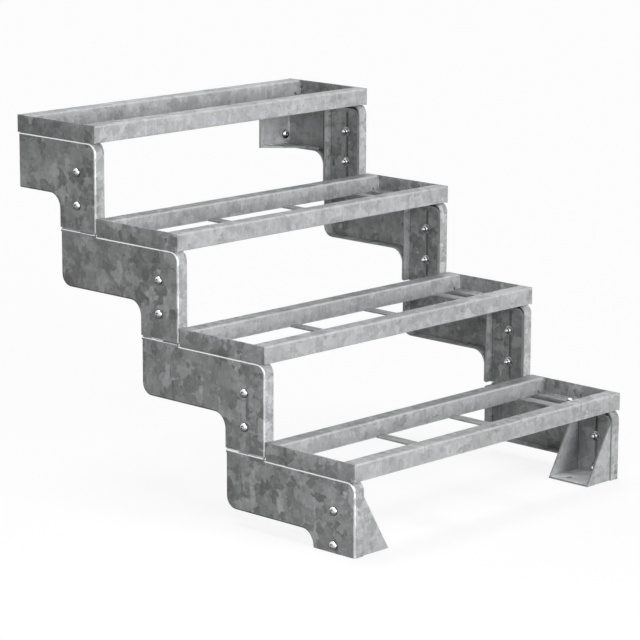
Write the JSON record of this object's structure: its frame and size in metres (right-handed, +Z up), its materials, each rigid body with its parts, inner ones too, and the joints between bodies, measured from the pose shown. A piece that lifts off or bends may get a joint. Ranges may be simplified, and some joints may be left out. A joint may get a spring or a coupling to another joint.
{
  "type": "outdoor stair substructure",
  "caption": "Galvanised steel substructure of a short outdoor stair: open tread frames on two stringers of nested, bolted sheet modules, with foot brackets and wall flanges.",
  "frame": {"origin": "back face of the left wall flange, where it meets the wall: halfway along the flange's reach from the stringer's outer face, and halfway up", "axes": "+X to the right seen from the foot of the stair, +Y up the flight into the wall, +Z up"},
  "size_m": [0.8, 0.958, 0.747],
  "materials": {
    "rail": "hot-dip galvanised, light satin with faint spangle",
    "end_plate": "hot-dip galvanised, matt grey with spangle",
    "crossbar": "hot-dip galvanised, satin",
    "cheek": "hot-dip galvanised sheet, mottled grey spangle",
    "bracket": "hot-dip galvanised plate, satin grey"
  },
  "bodies": {
    "root": {"tread_1_front_rail": "rail", "tread_1_back_rail": "rail", "tread_1_left_end": "end_plate", "tread_1_right_end": "end_plate", "tread_1_crossbars": "crossbar", "tread_2_front_rail": "rail", "tread_2_back_rail": "rail", "tread_2_left_end": "end_plate", "tread_2_right_end": "end_plate", "tread_2_crossbars": "crossbar", "tread_3_front_rail": "rail", "tread_3_back_rail": "rail", "tread_3_left_end": "end_plate", "tread_3_right_end": "end_plate", "tread_3_crossbars": "crossbar", "tread_4_front_rail": "rail", "tread_4_back_rail": "rail", "tread_4_left_end": "end_plate", "tread_4_right_end": "end_plate", "tread_4_crossbars": "crossbar", "cheek_1_left": "cheek", "cheek_2_left": "cheek", "cheek_3_left": "cheek", "cheek_4_left": "cheek", "tongue_1_left": "cheek", "tongue_2_left": "cheek", "tongue_3_left": "cheek", "cheek_1_right": "cheek", "cheek_2_right": "cheek", "cheek_3_right": "cheek", "cheek_4_right": "cheek", "tongue_1_right": "cheek", "tongue_2_right": "cheek", "tongue_3_right": "cheek", "foot_bracket_left": "bracket", "foot_bracket_right": "bracket", "foot_plate_left": "bracket", "foot_plate_right": "bracket", "wall_bracket_left": "bracket", "wall_bracket_right": "bracket", "wall_plate_left": "bracket", "wall_plate_right": "bracket"}
  },
  "joints": []
}
